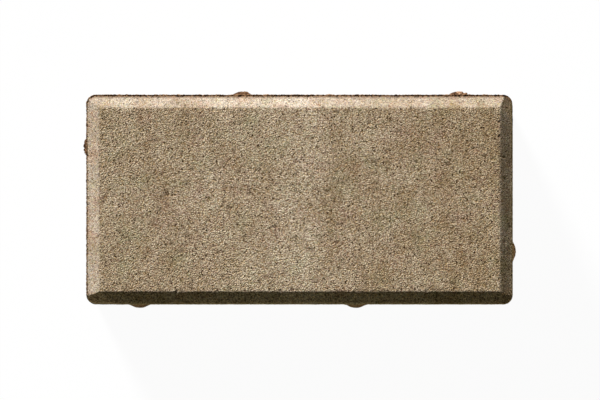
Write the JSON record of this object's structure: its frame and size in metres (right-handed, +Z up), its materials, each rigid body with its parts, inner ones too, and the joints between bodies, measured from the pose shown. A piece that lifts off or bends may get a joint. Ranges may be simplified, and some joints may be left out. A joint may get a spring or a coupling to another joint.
{
  "type": "concrete paving stone",
  "caption": "Rectangular pressed-concrete paving stone with a chamfered wearing face, rounded corners and spacer nibs on its side faces, for laying paths, yards and drives.",
  "frame": {"origin": "middle of the bed face, on the level that the stone lies on", "axes": "+X along the length, +Y across the width, +Z up towards the wearing face"},
  "size_m": [0.2004, 0.1004, 0.06],
  "materials": {
    "concrete": "matt, fine sandy grain on the wearing face, coarser and redder on the side faces"
  },
  "bodies": {
    "root": {"paving_stone": "concrete"}
  },
  "joints": []
}
